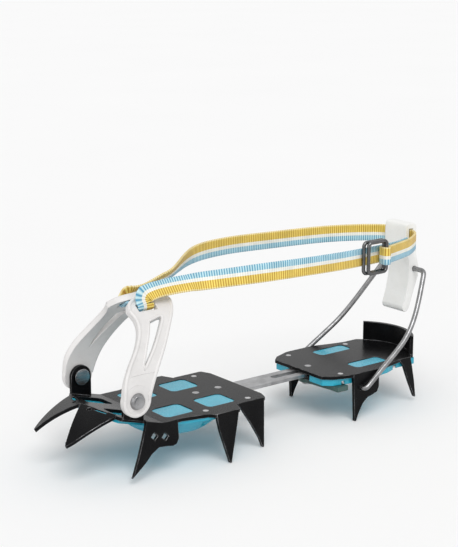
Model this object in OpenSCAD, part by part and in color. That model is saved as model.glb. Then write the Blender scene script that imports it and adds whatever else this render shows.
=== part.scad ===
// Semi-automatic crampon for one boot: a front and a heel section of bent sheet steel on a linking bar,
// moulded toe arms, a wire heel bail with a lever, and a webbing strap that ties them together.
// X points to the toe, Y to the wearer's left, Z up; the ground under the points is Z = 0.

/* [Sheet steel] */
// Thickness of the frame sheet
sheet_t = 2.5; // [2.2:0.1:2.8]
// Height of the deck that the sole stands on
deck_z = 37; // [36:0.25:38]
// Upturn of the deck under the toe, in degrees
toe_rise = 15.8; // [14:0.2:17]
// Outward lean of the second row of points, in degrees
second_splay = 8; // [6:0.5:9]
// Outward lean of the third row of points, in degrees
third_splay = 3; // [2:0.5:4]
// Slope of the front points below the upturned deck, in degrees
front_point_drop = 45; // [43:0.5:47]
// Length of a front point
front_point_len = 34.5; // [33.5:0.5:35]

/* [Toe arms] */
// Outer face of a toe arm at its rivet, from the centre line
arm_out_y = 38.5; // [38:0.1:39]
// Thickness of a toe arm
arm_t = 4; // [3.6:0.1:4.4]
// Radius of the curve that a toe arm follows over the toe
arm_bend_r = 64; // [62:0.5:66]
// Distance of the toe rivets ahead of the origin
rivet_x = 122; // [121:0.5:123]
// Height of the toe rivets
rivet_z = 56; // [55.5:0.25:57]
// Radius of a toe rivet's shank
rivet_r = 3; // [2.6:0.1:3.4]

/* [Linking bar] */
// Width of the linking bar
bar_w = 18; // [16:0.5:19]
// Thickness of the linking bar
bar_t = 2.5; // [2.2:0.1:2.8]
// Radius of the clamp bolt through the bar's slot
bolt_r = 2.5; // [2.2:0.1:2.8]
// Reach of the clamp lever to the side
clamp_reach = 37; // [34:0.5:38]

/* [Heel binding] */
// Radius of the heel bail's wire
wire_r = 2; // [1.8:0.1:2.2]
// Distance of the bail's holes behind the origin
bail_x = 80.5; // [80:0.25:81]
// Height of the bail's holes
bail_z = 25; // [24.5:0.25:25.5]
// Distance of the bail's cross bar behind the origin
cross_x = 159; // [158.5:0.25:159.5]
// Height of the bail's cross bar
cross_z = 100.5; // [100:0.25:101]
// Width of the heel lever
lever_w = 23; // [22:0.5:24]

/* [Strap] */
// Width of the webbing
strap_w = 13.5; // [13:0.25:14.5]
// Thickness of the webbing
strap_t = 1.8; // [1.5:0.1:1.9]
// Height of the webbing's middle at the heel
strap_z = 125.5; // [125:0.25:126]
// Radius of the buckle rings' wire
ring_r = 1.4; // [1.2:0.1:1.5]

/* [Fits] */
// Radial clearance of a pin that turns in a hole
run_fit = 0.06; // [0.03:0.01:0.1]
// Gap between faces that slide on each other
slide_gap = 0.1; // [0.08:0.01:0.15]

/* [Hidden] */
$fn = 48;

// Deck heights and the line where the front deck turns up
deck_low = deck_z - sheet_t;
bend_x = 102;
function rise_mid(x) = deck_z + (x - bend_x) * tan(toe_rise) - sheet_t / 2;

// How far a cutting shape reaches past the face that it cuts
over = 1;

// Layers of a toe joint from the ear outwards
arm_in_y = arm_out_y - arm_t;
washer_t = 0.7;
washer_r = 6.6;
ear_out_y = arm_in_y - 2 * slide_gap - washer_t;
ear_in_y = ear_out_y - sheet_t;
ear_r = 8;
rivet_hole_r = rivet_r + run_fit;
arm_eye_r = 11;
arm_axis_z = 60;
arm_axis_y = arm_out_y - arm_bend_r;

// Rows of points: the outer face of each plate under the deck's edge
second_y = 38.5;
third_y = 47.2;
fourth_y = 38.2;
heel_front_y = 38;
heel_rear_y = 31.2;

// Linking bar, its guides and its clamp
bar_top = deck_low;
bar_low = bar_top - bar_t;
bar_front_x = 56;
bar_rear_x = -128;
bar_rivet_x = [26, 46];
bar_rivet_r = 2.5;
bar_rivet_head_r = 4.6;
bar_rivet_head_h = 1.6;
bar_side = 0.4;
clamp_x = -60;
slot_front_x = -27;
slot_rear_x = -76;
slot_room = 0.4;
slot_w = 2 * (bolt_r + slot_room);
guide_t = 2.5;
guide_side = 0.3;
guide_half = bar_w / 2 + guide_side;
guide_floor = bar_low - 2 * slide_gap;
guide_front_x = [-70, -52];
guide_rear_x = [-114, -104];
clamp_lever_t = 3.7;
clamp_hub_r = 7;
bolt_head_r = 4.5;
bolt_head_h = 1.8;
clamp_top = guide_floor - guide_t - slide_gap;
bolt_low = clamp_top - clamp_lever_t - slide_gap;

// Heel stop and lever
stop_x = -116;
stop_r = 39.5;
stop_top = 52;
eye_out_y = 42.2;
lever_hole_r = wire_r + run_fit;

// Webbing passage in the lever and the slots in the toe arms
pass_x = -154.5;
pass_d = 4;
pass_room = 0.6;
slot_mid_x = rivet_x - 25.7;
slot_len = strap_w + 1.5;
slot_low = 66;
slot_high = 72.5;

// Buckle
ring_back = -94.5;
ring_front = -74.5;
lock_front = -76.5;
ring_h = 23;
ring_y = 43.3;
buckle_z = 126;
ring_bend = 3;
ring_gap = 0.2;
ring_step = 2 * ring_r + ring_gap;
lock_y = ring_y + ring_step;

steel_black = [0.07, 0.07, 0.08];
steel_bright = [0.72, 0.73, 0.75];
plate_blue = [0.18, 0.66, 0.88];
arm_white = [0.86, 0.86, 0.87];
web_yellow = [0.93, 0.75, 0.16];
clamp_teal = [0.06, 0.27, 0.33];

// A smooth curve through points, with n steps from one to the next
function knot(a, b, c, d, t) =
  0.5 * (2 * b + (c - a) * t + (2 * a - 5 * b + 4 * c - d) * t * t + (3 * b - a - 3 * c + d) * t * t * t);
function curve(p, n) = concat(
  [for (i = [0 : len(p) - 2], k = [0 : n - 1])
    knot(p[max(i - 1, 0)], p[i], p[i + 1], p[min(i + 2, len(p) - 1)], k / n)],
  [p[len(p) - 1]]);
function unit(v) = v / norm(v);
function flip_y(p) = [for (q = p) [q[0], -q[1], q[2]]];

// The same shape on both sides of the centre line
module both_sides() {
  children();
  mirror([0, 1, 0]) children();
}

// A plate standing on edge: outline in X and Z, its outer face at y, thickness inwards
module side_plate(outline, y, z, t, lean = 0) {
  translate([0, y, z]) rotate([lean, 0, 0]) rotate([90, 0, 0]) linear_extrude(t) polygon(outline);
}

// A round bar between two points
module rod(a, b, r) {
  d = b - a;
  translate(a) rotate([0, acos(d[2] / norm(d)), atan2(d[1], d[0])]) cylinder(h = norm(d), r = r);
}

// How far a bend of radius bend starts ahead of its corner
function bend_reach(a, b, c, bend) = bend * tan(acos(unit(b - a) * unit(c - b)) / 2);

// A round bend of a wire at corner b
module elbow(a, b, c, bend, r) {
  d1 = unit(b - a);
  d2 = unit(c - b);
  n = unit(cross(d1, d2));
  m = unit(d2 - (d2 * d1) * d1);
  tip = acos(n[2]);
  turn = atan2(n[1], n[0]);
  ex = [cos(tip) * cos(turn), cos(tip) * sin(turn), -sin(tip)];
  ey = [-sin(turn), cos(turn), 0];
  translate(b - d1 * bend_reach(a, b, c, bend) + m * bend)
    rotate([0, tip, turn]) rotate([0, 0, atan2(-m * ey, -m * ex)])
      rotate_extrude(angle = acos(d1 * d2)) translate([bend, 0]) circle(r);
}

// A bent wire through points, with one bend radius for each inner corner
module wire(p, bends, r) {
  last = len(p) - 1;
  for (i = [0 : last - 1]) {
    d = unit(p[i + 1] - p[i]);
    from = i == 0 ? 0 : bend_reach(p[i - 1], p[i], p[i + 1], bends[i - 1]);
    to = i == last - 1 ? 0 : bend_reach(p[i], p[i + 1], p[i + 2], bends[i]);
    rod(p[i] + d * from, p[i + 1] - d * to, r);
  }
  for (i = [1 : last - 1]) elbow(p[i - 1], p[i], p[i + 1], bends[i - 1], r);
}

// A wire bent in space: straight rods with a ball at each joint, a trace larger than the wire
joint_extra = 0.03;
module chain(p, r) {
  for (i = [0 : len(p) - 2]) rod(p[i], p[i + 1], r);
  for (i = [1 : len(p) - 2]) translate(p[i]) sphere(r + joint_extra);
}

// A flat band along a path: each station has a middle point, a direction across and a width
module band(path, across, widths, t) {
  n = len(path);
  corners = [for (i = [0 : n - 1])
    let (
      run = unit(path[min(i + 1, n - 1)] - path[max(i - 1, 0)]),
      side = unit(across[i] - (across[i] * run) * run),
      face = cross(side, run)
    )
    each [
      path[i] - side * widths[i] / 2 - face * t / 2, path[i] + side * widths[i] / 2 - face * t / 2,
      path[i] + side * widths[i] / 2 + face * t / 2, path[i] - side * widths[i] / 2 + face * t / 2
    ]];
  faces = concat(
    [[2, 1, 0], [3, 2, 0]],
    [for (i = [0 : n - 2], j = [0 : 3])
      let (a = 4 * i + j, b = 4 * i + (j + 1) % 4)
      each [[a, b, b + 4], [a, b + 4, a + 4]]],
    [[4 * n - 4, 4 * n - 3, 4 * n - 2], [4 * n - 4, 4 * n - 2, 4 * n - 1]]);
  polyhedron(corners, faces, convexity = 6);
}

// A rectangle with round corners
module round_rect(x0, x1, y0, y1, r) {
  translate([x0 + r, y0]) square([x1 - x0 - 2 * r, y1 - y0]);
  translate([x0, y0 + r]) square([x1 - x0, y1 - y0 - 2 * r]);
  for (x = [x0 + r, x1 - r], y = [y0 + r, y1 - r]) translate([x, y]) circle(r);
}

// A closed outline from one half of it
function whole(half) = concat(half,
  [for (i = [len(half) - 1 : -1 : 0]) if (half[i][1] > 0) [half[i][0], -half[i][1]]]);

// Front section: the second row of points and what lies near it go with the bend line
bend_lap = 0.25;
front_half = [[10, 0], [10, 30], [13, 37.9], [38.5, 37.9], [42.5, 46.9], [63.5, 46.9], [67, 43],
  [bend_x - 16, 38.5], [bend_x + bend_lap, 38.2], [bend_x + bend_lap, 0]];
ear_u = (rivet_x - bend_x) / cos(toe_rise);
ear_du = ear_r / cos(toe_rise);
point_from = [41.5, 2.2];
point_to = [31.4, 28];
notch_side = 0.5;
notch_y = ear_out_y - 0.4;
rise_half = [[-1, 0], [-1, 38.2], [ear_u - ear_du - 2 * notch_side, 38.2],
  [ear_u - ear_du - notch_side, notch_y], [ear_u + ear_du + notch_side, notch_y],
  point_to, point_from, [42.3, 0]];
front_windows = [[34, 58], [bend_x - 32, bend_x - 8]];
window_y = [11, 32];
window_r = 4;
window_gap = 0.4;
window_lift = 0.4;
rise_window = [8, 30, 8, 25];
front_studs = [[24, 32], [64, 36]];
stud_r = 2;
stud_head_r = 3.6;
stud_head_h = 1.4;

second_shape = [[-12.5, 0], [0, 0], [12.5, 3.5], [14, -1], [17, -9], [21, -19], [26.8, -31.6],
  [27.6, -32.2], [20.5, -27.2], [15.8, -23.7], [11, -19.4], [4.5, -15.8], [-2, -16.5], [-7, -17.3],
  [-10, -16.4], [-12, -13]];
second_outline = [for (q = second_shape) [bend_x + q[0], q[1]]];
third_tip = (deck_z - sheet_t * sin(third_splay)) / cos(third_splay);
third_outline = [[43.5, 0], [62.5, 0], [62.3, -5], [60.5, -13], [52.7, -third_tip], [51.5, -third_tip],
  [45.5, -10], [44.3, -4]];
fourth_outline = [[14, 0], [13.8, -deck_z], [15, -deck_z], [18, -30], [25.5, -17.5], [32, -8], [37.5, 0]];
diamond_at = [[bend_x - 1, -9.7], [bend_x + 7.5, -7.8]];
diamond_side = 4;

// The hole of a push stud, through deck and plate
module stud_hole(p) {
  translate([p[0], p[1], deck_low / 2]) cylinder(h = deck_z, r = stud_r + run_fit);
}

// The pocket under the plate's flange that a stud's head sits in
module stud_pocket(p) {
  translate([p[0], p[1], 0]) cylinder(h = deck_low - flange_t, r = stud_head_r + 4 * slide_gap);
}

// The upturned part of the deck, in its own plane
module on_rise() {
  translate([bend_x, 0, deck_z]) rotate([0, -toe_rise, 0]) children();
}

// The front edge of the deck: X along the slanted bend of a front point, Y back into the deck
point_base = point_to - point_from;
point_inset = 0.4;
point_span = norm(point_base) - point_inset;
module at_front_edge() {
  on_rise() translate([point_from[0], point_from[1], 0]) rotate([0, 0, atan2(point_base[1], point_base[0])])
    children();
}

// One front point: a slightly arched plate, bent down from the front edge, with a small round hole
point_arch = 1.8;
point_lap = 0.6;
point_root = 0.8;
point_chord = (point_lap + front_point_len) / 2;
point_bend_r = (pow(point_chord, 2) + pow(point_arch, 2)) / (2 * point_arch);
point_turn = asin(point_chord / point_bend_r) + over;
point_hole = [7, -2];
point_hole_r = 1.6;
module front_point() {
  far = 12;
  outer = curve([[10.4, -front_point_len], [14.4, -29], [20.3, -17.5], [25.4, -6.6], [point_span, -2]], 3);
  at_front_edge() rotate([front_point_drop, 0, 0]) difference() {
    intersection() {
      translate([0, 0, -far]) linear_extrude(2 * far)
        polygon(concat([[point_span, point_root], [-1.9, point_root], [9.4, -front_point_len]], outer));
      translate([-far, point_lap - point_chord, point_arch - point_bend_r]) rotate([90, 0, 90])
        rotate([0, 0, 90 - point_turn]) rotate_extrude(angle = 2 * point_turn)
          translate([point_bend_r - sheet_t, 0]) square([sheet_t, point_span + 2 * far]);
    }
    translate([point_hole[0], point_hole[1], -far]) cylinder(h = 2 * far, r = point_hole_r);
  }
}

// A slot across the bend of a front point, smaller by gap all round, from low to high
edge_slot = [10.5, 20.5, -1.3, 1.5];
module edge_slot_block(gap, low, high) {
  at_front_edge() translate([edge_slot[0] + gap, edge_slot[2] + gap, low])
    cube([edge_slot[1] - edge_slot[0] - 2 * gap, edge_slot[3] - edge_slot[2] - 2 * gap, high - low]);
}

module front_frame() {
  color(steel_black) difference() {
    union() {
      translate([0, 0, deck_low]) linear_extrude(sheet_t) polygon(whole(front_half));
      on_rise() translate([0, 0, -sheet_t]) linear_extrude(sheet_t) polygon(whole(rise_half));
      both_sides() {
        front_point();
        side_plate(second_outline, second_y, deck_z, sheet_t, second_splay);
        side_plate(third_outline, third_y, deck_z, sheet_t, third_splay);
        side_plate(fourth_outline, fourth_y, deck_z, sheet_t);
        side_plate([[rivet_x - ear_r, rise_mid(rivet_x - ear_r)],
          [rivet_x + ear_r, rise_mid(rivet_x + ear_r)], [rivet_x + ear_r, rivet_z],
          [rivet_x - ear_r, rivet_z]], ear_out_y, 0, sheet_t);
        translate([rivet_x, ear_out_y, rivet_z]) rotate([90, 0, 0]) cylinder(h = sheet_t, r = ear_r);
      }
    }
    both_sides() {
      for (w = front_windows) translate([0, 0, deck_low - over]) linear_extrude(sheet_t + 2 * over)
        round_rect(w[0], w[1], window_y[0], window_y[1], window_r);
      on_rise() translate([0, 0, -sheet_t - over]) linear_extrude(sheet_t + 2 * over)
        round_rect(rise_window[0], rise_window[1], rise_window[2], rise_window[3], window_r);
      edge_slot_block(0, -2 * sheet_t - over, over);
      for (d = diamond_at) translate([0, second_y, deck_z]) rotate([second_splay, 0, 0])
        translate([d[0], -sheet_t / 2, d[1]]) rotate([90, 45, 0])
          cube([diamond_side, diamond_side, sheet_t + 2 * over], center = true);
      translate([rivet_x, ear_out_y + over, rivet_z]) rotate([90, 0, 0])
        cylinder(h = sheet_t + 2 * over, r = rivet_hole_r);
      for (p = front_studs) stud_hole(p);
    }
    for (x = bar_rivet_x) translate([x, 0, deck_low - over])
      cylinder(h = sheet_t + 2 * over, r = bar_rivet_r + run_fit);
  }
}

// The middle height of a dome whose foot radius is foot at the deck's underside
function dome_mid(r, foot) = deck_low + sqrt(pow(r, 2) - pow(foot, 2));

// The part of a snow-shedding plate that fills a window of the deck
module window_fill(x0, x1, y0, y1) {
  translate([0, 0, deck_low - over]) linear_extrude(over + sheet_t - window_lift)
    round_rect(x0 + window_gap, x1 - window_gap, y0 + window_gap, y1 - window_gap, window_r - window_gap);
}

// Snow-shedding plate under the front deck
front_dome_x = 70;
front_dome_r = 52;
front_dome_foot = 42;
front_dome_low = 21;
flange_t = 2.2;
dome_sink = 0.5;
front_flange_half = [[11, 0], [11, 28], [16, 34.5], [39.5, 34.5], [44, 43.5], [62, 43.5], [67, 42.5],
  [bend_x - 16, 37.6], [bend_x - 13.2, 37.6], [bend_x - 13.2, 34.6], [bend_x - 1, 34.6], [bend_x - 1, 0]];
rise_flange_half = [[-4, 0], [-4, 34], [10, 34], [10, 29.5], [29.4, 29.5], [40.9, 0]];
module front_antiball_plate() {
  color(plate_blue) difference() {
    union() {
      translate([0, 0, deck_low - flange_t]) linear_extrude(flange_t) polygon(whole(front_flange_half));
      on_rise() translate([0, 0, -sheet_t - flange_t]) linear_extrude(flange_t)
        polygon(whole(rise_flange_half));
      intersection() {
        translate([front_dome_x, 0, dome_mid(front_dome_r, front_dome_foot)]) sphere(front_dome_r);
        translate([0, 0, front_dome_low]) linear_extrude(deck_low - front_dome_low - dome_sink)
          polygon(whole(front_flange_half));
      }
      both_sides() {
        for (w = front_windows) window_fill(w[0], w[1], window_y[0], window_y[1]);
        edge_slot_block(window_gap, -sheet_t - flange_t, -2 * window_lift);
        at_front_edge() translate([edge_slot[0] + window_gap, 0, -sheet_t - flange_t])
          cube([edge_slot[1] - edge_slot[0] - 2 * window_gap, 2 * edge_slot[3], flange_t - window_lift]);
      }
    }
    translate([0, -bar_w / 2 - bar_side, bar_low - bar_rivet_head_h - bar_side])
      cube([bar_front_x + bar_side, bar_w + 2 * bar_side, deck_z]);
    both_sides() for (p = front_studs) {
      stud_hole(p);
      stud_pocket(p);
    }
  }
}

// A push stud through deck and plate, with a head below
module plate_stud(p) {
  low = deck_low - flange_t;
  translate([p[0], p[1], low - stud_head_h]) cylinder(h = stud_head_h, r = stud_head_r);
  translate([p[0], p[1], low]) cylinder(h = deck_z - low, r = stud_r);
}

module front_plate_studs() {
  color(steel_bright) both_sides() for (p = front_studs) plate_stud(p);
}

module linking_bar() {
  color(steel_bright) difference() {
    translate([bar_rear_x, -bar_w / 2, bar_low]) cube([bar_front_x - bar_rear_x, bar_w, bar_t]);
    translate([slot_rear_x, -slot_w / 2, bar_low - over])
      cube([slot_front_x - slot_rear_x, slot_w, bar_t + 2 * over]);
    for (x = [slot_rear_x, slot_front_x]) translate([x, 0, bar_low - over])
      cylinder(h = bar_t + 2 * over, d = slot_w);
    for (x = bar_rivet_x) translate([x, 0, bar_low - over])
      cylinder(h = bar_t + 2 * over, r = bar_rivet_r + run_fit);
  }
}

module bar_rivets() {
  color(steel_bright) for (x = bar_rivet_x) translate([x, 0, 0]) {
    translate([0, 0, bar_low - bar_rivet_head_h]) cylinder(h = bar_rivet_head_h, r = bar_rivet_head_r);
    translate([0, 0, bar_low]) cylinder(h = deck_z - bar_low, r = bar_rivet_r);
  }
}

// Heel section: the relief for the bar ends at heel_cut_x, the bay in the plate at heel_bay_x
heel_cut_x = -160;
heel_bay_x = -150;
stop_turn = 46;
stop_mid_r = stop_r - sheet_t / 2;
heel_half = concat(
  [[-50, 0], [-50, 27], [-56, 32.5], [-70, 37.7], [-99, 37.7], [-112, 34], [-126, 31]],
  [for (a = [54 : -6 : 0]) [stop_x - stop_mid_r * cos(a), stop_mid_r * sin(a)]]);
heel_window = [-118, -86, 13.5, 27];
heel_front_outline = [[-72.3, 0], [-73.2, -18], [-74.2, -deck_z], [-75.4, -deck_z], [-78, -31], [-82, -24.5],
  [-87, -20.5], [-92, -19.5], [-96.5, -18], [-98.3, -14], [-98.3, 0]];
heel_rear_outline = [[-126, 0], [-131, -6], [-137, -20], [-143.4, -33.5], [-144.6, -33.5], [-142.6, -20],
  [-140, -8], [-138, 0]];
heel_studs = [[-66, 30], [-122, 26]];

module heel_frame() {
  color(steel_black) difference() {
    union() {
      translate([0, 0, deck_low]) linear_extrude(sheet_t) polygon(whole(heel_half));
      both_sides() {
        side_plate(heel_front_outline, heel_front_y, deck_z, sheet_t);
        side_plate(heel_rear_outline, heel_rear_y, deck_z, sheet_t);
      }
      translate([stop_x, 0, deck_low]) rotate([0, 0, 180 - stop_turn]) rotate_extrude(angle = 2 * stop_turn)
        translate([stop_r - sheet_t, 0]) square([sheet_t, stop_top - deck_low]);
    }
    both_sides() {
      translate([0, 0, deck_low - over]) linear_extrude(sheet_t + 2 * over)
        round_rect(heel_window[0], heel_window[1], heel_window[2], heel_window[3], window_r);
      translate([-bail_x, heel_front_y + over, bail_z]) rotate([90, 0, 0])
        cylinder(h = sheet_t + 2 * over, r = wire_r + run_fit);
      for (p = heel_studs) stud_hole(p);
    }
    translate([heel_cut_x, -bar_w / 2 - guide_side, deck_low - over])
      cube([-heel_cut_x, bar_w + 2 * guide_side, over + slide_gap]);
    translate([clamp_x, 0, deck_low - over]) cylinder(h = sheet_t + 2 * over, r = bolt_r + run_fit);
  }
}

heel_dome_x = -104;
heel_dome_r = 44;
heel_dome_foot = 31;
heel_dome_low = 23.5;
heel_flange_t = 5;
heel_flange_half = [[-51, 0], [-51, 26.5], [-57, 32], [-70, 34.8], [-99, 34.8], [-112, 33], [-125, 28],
  [-145, 28], [-147, 0]];
module heel_antiball_plate() {
  color(plate_blue) difference() {
    union() {
      translate([0, 0, deck_low - heel_flange_t]) linear_extrude(heel_flange_t)
        polygon(whole(heel_flange_half));
      intersection() {
        translate([heel_dome_x, 0, dome_mid(heel_dome_r, heel_dome_foot)]) sphere(heel_dome_r);
        translate([0, 0, heel_dome_low]) linear_extrude(deck_low - heel_dome_low - dome_sink)
          polygon(whole(heel_flange_half));
      }
      both_sides() window_fill(heel_window[0], heel_window[1], heel_window[2], heel_window[3]);
    }
    translate([heel_bay_x, -guide_half - guide_t - bar_side, guide_floor - guide_t - bar_side])
      cube([-heel_bay_x, 2 * (guide_half + guide_t + bar_side), deck_z]);
    both_sides() for (p = heel_studs) {
      stud_hole(p);
      stud_pocket(p);
    }
  }
}

module heel_plate_studs() {
  color(steel_bright) both_sides() for (p = heel_studs) plate_stud(p);
}

// A channel under the heel deck that the linking bar slides in
module bar_guide(span) {
  long = span[1] - span[0];
  difference() {
    translate([span[0], -guide_half - guide_t, guide_floor - guide_t])
      cube([long, 2 * (guide_half + guide_t), deck_low - guide_floor + guide_t]);
    translate([span[0] - over, -guide_half, guide_floor]) cube([long + 2 * over, 2 * guide_half, deck_low]);
  }
}

module bar_guide_front() {
  color(steel_black) difference() {
    bar_guide(guide_front_x);
    translate([clamp_x, 0, 0]) cylinder(h = deck_z, r = bolt_r + run_fit);
  }
}

module bar_guide_rear() {
  color(steel_black) bar_guide(guide_rear_x);
}

// Clamp bolt through deck, bar slot and guide, with the lever below
module clamp_bolt() {
  color(steel_bright) translate([clamp_x, 0, 0]) {
    translate([0, 0, bolt_low - bolt_head_h]) cylinder(h = bolt_head_h, r = bolt_head_r);
    translate([0, 0, bolt_low]) cylinder(h = deck_z - bolt_low, r = bolt_r);
  }
}

module clamp_lever() {
  color(clamp_teal) translate([clamp_x, 0, clamp_top - clamp_lever_t]) linear_extrude(clamp_lever_t)
    difference() {
      union() {
        circle(clamp_hub_r);
        polygon([[-5.5, 0], [5.5, 0], [2.5, clamp_reach - 6], [2.5, clamp_reach], [-7.5, clamp_reach],
          [-7.5, clamp_reach - 7]]);
      }
      circle(bolt_r + run_fit);
    }
}

// Toe arms: a curved shell cut to the arm's outline, seen square to its middle and measured from the rivet
arm_side = arm_eye_r - 0.3;
arm_front = curve([[arm_side, 14.4], [9.4, 22.6], [4.6, 31.2], [-3.6, 41.2], [-9, 49.4], [-11.7, 56.3],
  [-12.1, 62.6], [-10.4, 68.4]], 4);
arm_head = curve([[-10.4, 68.4], [-11.8, 71.5], [-14.5, 75.5], [-21, 79], [-31, 80.5],
  [-40, 79.8], [-45.8, 77]], 4);
arm_back = curve([[-45.8, 77], [-47.4, 71.4], [-44.4, 63.2], [-37.1, 52.7], [-27.7, 39.3],
  [-19, 27.4], [-13, 17.5], [-arm_side, 12]], 4);
leaf = curve([[-7.7, 29.5], [-13.2, 40], [-18.8, 50], [-22.4, 57.6]], 4);
leaf_back = curve([[-22.4, 57.6], [-27, 58.8], [-32.4, 59.6], [-27.5, 52.5], [-18, 40.5], [-7.7, 29.5]], 4);
lean = 45;
arm_far = 120;
arm_foot = 8;
arm_turn = 75;
arm_span = [-62, 28];

// An outline in the arm's slanted view, cut through everything
module slant_prism(outline) {
  translate([rivet_x, 0, 0]) rotate([90 + lean, 0, 0]) translate([0, 0, -arm_far])
    linear_extrude(2 * arm_far) polygon(outline);
}

// The shell that the arm is cut from: a flat foot, then a curve inwards over the toe
module arm_shell() {
  long = arm_span[1] - arm_span[0];
  translate([rivet_x + arm_span[0], arm_in_y, rivet_z - arm_eye_r])
    cube([long, arm_t, arm_axis_z - rivet_z + arm_eye_r]);
  translate([rivet_x + arm_span[0], arm_axis_y, arm_axis_z]) rotate([90, 0, 90])
    rotate_extrude(angle = arm_turn) translate([arm_bend_r - arm_t, 0]) square([arm_t, long]);
}

module toe_arm() {
  difference() {
    union() {
      intersection() {
        arm_shell();
        slant_prism(concat(arm_front, arm_head, arm_back, [[-arm_side, arm_foot], [arm_side, arm_foot]]));
        translate([0, 0, rivet_z]) cube([2 * rivet_x, arm_far, arm_far]);
      }
      translate([rivet_x, arm_out_y, rivet_z]) rotate([90, 0, 0]) cylinder(h = arm_t, r = arm_eye_r);
    }
    translate([rivet_x, arm_out_y + over, rivet_z]) rotate([90, 0, 0])
      cylinder(h = arm_t + 2 * over, r = rivet_hole_r);
    slant_prism(concat(leaf, leaf_back));
    translate([slot_mid_x - rivet_x, 0, 0]) slant_prism([[-slot_len / 2, slot_low], [slot_len / 2, slot_low],
      [slot_len / 2, slot_high], [-slot_len / 2, slot_high]]);
  }
}

module toe_arm_left() {
  color(arm_white) toe_arm();
}

module toe_arm_right() {
  color(arm_white) mirror([0, 1, 0]) toe_arm();
}

// Toe rivet along Y: a flat head inside the ear and a dished head outside the arm
head_r = 5.8;
head_h = 2.2;
head_in_h = 2;
head_taper = 1.2;
dish_r = 6.8;
dish_depth = 1.2;
module toe_rivet() {
  translate([rivet_x, 0, rivet_z]) rotate([-90, 0, 0]) difference() {
    union() {
      translate([0, 0, ear_in_y - head_in_h]) cylinder(h = head_in_h, r = head_r);
      translate([0, 0, ear_in_y]) cylinder(h = arm_out_y + slide_gap - ear_in_y, r = rivet_r);
      translate([0, 0, arm_out_y + slide_gap]) cylinder(h = head_h, r1 = head_r, r2 = head_r - head_taper);
    }
    translate([0, 0, arm_out_y + slide_gap + head_h + dish_r - dish_depth]) sphere(dish_r);
  }
}

module toe_rivet_left() {
  color(steel_bright) toe_rivet();
}

module toe_rivet_right() {
  color(steel_bright) mirror([0, 1, 0]) toe_rivet();
}

module toe_washer() {
  translate([rivet_x, ear_out_y, rivet_z]) rotate([-90, 0, 0]) difference() {
    cylinder(h = washer_t, r = washer_r);
    translate([0, 0, -over]) cylinder(h = washer_t + 2 * over, r = rivet_hole_r);
  }
}

module toe_washer_left() {
  color(steel_black) toe_washer();
}

module toe_washer_right() {
  color(steel_black) mirror([0, 1, 0]) toe_washer();
}

// Heel bail: one wire from eye to eye, round the back of the lever
eye_in_y = 33.5;
bail_leg = curve([[-bail_x, eye_out_y, bail_z], [-102, 40.2, 39.2], [-123, 38, 53], [-136, 34.7, 66],
  [-147, 29.6, 81.5], [-cross_x, 22.5, cross_z]], 2);
module heel_bail() {
  side = concat([[-bail_x, eye_in_y, bail_z]], bail_leg);
  far = flip_y([for (i = [len(side) - 1 : -1 : 0]) side[i]]);
  color(steel_bright) chain(concat(side, far), wire_r);
}

// Heel lever: a hook under the cross bar and a frame for the strap above it
lever_outline = concat(
  curve([[-147.6, 71.5], [-147.9, 68.5], [-150.8, 66.6], [-154.4, 69.6], [-158.8, 82], [-164.2, 97.5],
    [-162, 108], [-160.3, 118], [-160.3, 134]], 4),
  curve([[-157.9, 137], [-151.4, 137], [-149, 134], [-149, 119], [-152.8, 107], [-153.4, 96],
    [-151.5, 84], [-149.2, 76], [-147.6, 71.5]], 4));
module heel_lever() {
  color(arm_white) difference() {
    translate([0, lever_w / 2, 0]) rotate([90, 0, 0]) linear_extrude(lever_w) polygon(lever_outline);
    translate([-cross_x, lever_w, cross_z]) rotate([90, 0, 0]) cylinder(h = 2 * lever_w, r = lever_hole_r);
    translate([pass_x, 0, strap_z]) cube([pass_d, 2 * lever_w, strap_w + 2 * pass_room], center = true);
  }
}

// Webbing: one strap in stretches, cut where it passes from one moving piece to the next;
// it bunches to a part of its width where it turns through the arm's slot
bunch = 0.72;
web_gap = 0.3;
bar_out = arm_bend_r + strap_t / 2 + web_gap;
bar_mid = arm_bend_r - arm_t / 2;
bar_in = arm_bend_r - arm_t - strap_t / 2 - web_gap;
bar_a = lean + asin((slot_high * sqrt(2) - arm_axis_z + arm_axis_y) / (arm_bend_r * sqrt(2)));
function round_toe(r, a, back = 0) =
  [slot_mid_x - back, arm_axis_y + r * cos(bar_a + a), arm_axis_z + r * sin(bar_a + a)];
toe_half = [round_toe(bar_out, 0.4), round_toe(bar_out - 0.2, -1.25), round_toe(bar_mid + 0.6, -2.85),
  round_toe(bar_in + 0.2, -1.25), round_toe(bar_in, 2.15), round_toe(bar_in, 6.15)];
module strap_toe() {
  path = curve(concat(toe_half, flip_y([for (i = [len(toe_half) - 1 : -1 : 0]) toe_half[i]])), 4);
  color(web_yellow) band(path, [for (q = path) [1, 0, 0]], [for (q = path) strap_w * bunch], strap_t);
}

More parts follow.
